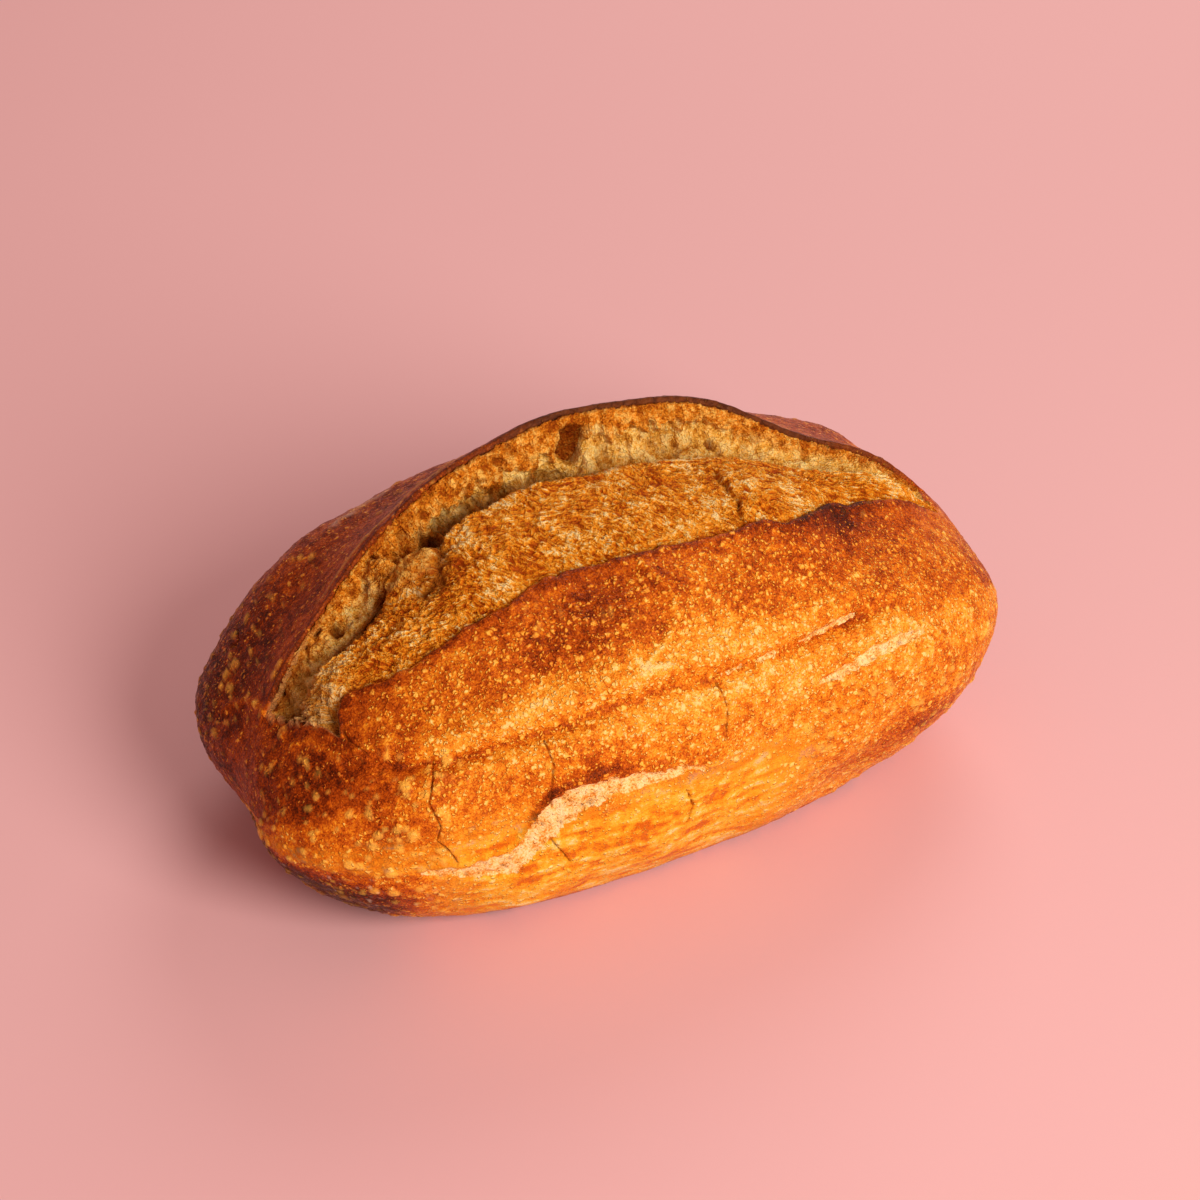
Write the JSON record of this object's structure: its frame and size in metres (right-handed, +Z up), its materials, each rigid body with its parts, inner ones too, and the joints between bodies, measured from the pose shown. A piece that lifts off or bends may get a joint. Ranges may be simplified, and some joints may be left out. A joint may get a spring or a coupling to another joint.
{
  "type": "sourdough loaf",
  "caption": "Oval sourdough loaf with a long slash, a raised crust ear over torn crumb, stretched tears along the front flank, and a flat underside to stand on",
  "frame": {"origin": "middle of the bounding box in X and Y, on the underside that the loaf stands on", "axes": "+X along the loaf from its left end to its right end, -Y the front flank with the tears, +Z up"},
  "size_m": [0.2812, 0.1668, 0.13],
  "materials": {
    "baked_crust": "baked bread crust, matte to satin, blistered, with torn pale crumb in the slash"
  },
  "bodies": {
    "root": {"loaf": "baked_crust"}
  },
  "joints": []
}
